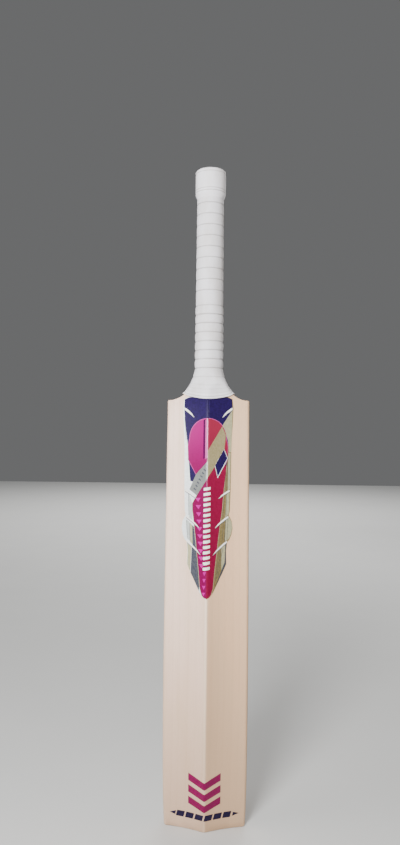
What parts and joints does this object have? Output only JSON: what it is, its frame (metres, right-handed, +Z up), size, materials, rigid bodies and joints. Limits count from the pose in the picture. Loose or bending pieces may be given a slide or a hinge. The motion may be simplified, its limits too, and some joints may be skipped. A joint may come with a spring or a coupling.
{
  "type": "cricket bat",
  "caption": "Cricket bat: willow blade with a ridged back and square shoulders, cane handle spliced into it, ribbed rubber grip and plain back stickers.",
  "frame": {"origin": "on the flat toe, on the handle's axis", "axes": "+Z up the handle from the toe, +Y out of the flat hitting face, the spine towards -Y"},
  "size_m": [0.108, 0.0681, 0.8535],
  "materials": {
    "willow": "pale willow, lightly sanded and oiled, straight grain along the blade",
    "cane": "sawn cane, glued up",
    "spring_rubber": "black sheet rubber",
    "twine": "glued linen twine",
    "grip_rubber": "off-white moulded rubber with fine cross hatching, matt",
    "spine_vinyl": "printed vinyl with foil panels, glossy",
    "magenta_vinyl": "printed vinyl, glossy",
    "navy_vinyl": "printed vinyl, glossy"
  },
  "bodies": {
    "root": {"willow_blade": "willow", "cane_row1_left": "cane", "cane_row1_middle": "cane", "cane_row1_right": "cane", "cane_row2_left": "cane", "cane_row2_middle": "cane", "cane_row2_right": "cane", "cane_row3_left": "cane", "cane_row3_middle": "cane", "cane_row3_right": "cane", "cane_row4_left": "cane", "cane_row4_middle": "cane", "cane_row4_right": "cane", "rubber_spring_1": "spring_rubber", "rubber_spring_2": "spring_rubber", "rubber_spring_3": "spring_rubber", "twine_binding": "twine", "rubber_grip": "grip_rubber", "spine_sticker": "spine_vinyl", "toe_chevron_sticker": "magenta_vinyl", "toe_bar_sticker": "navy_vinyl"}
  },
  "joints": []
}
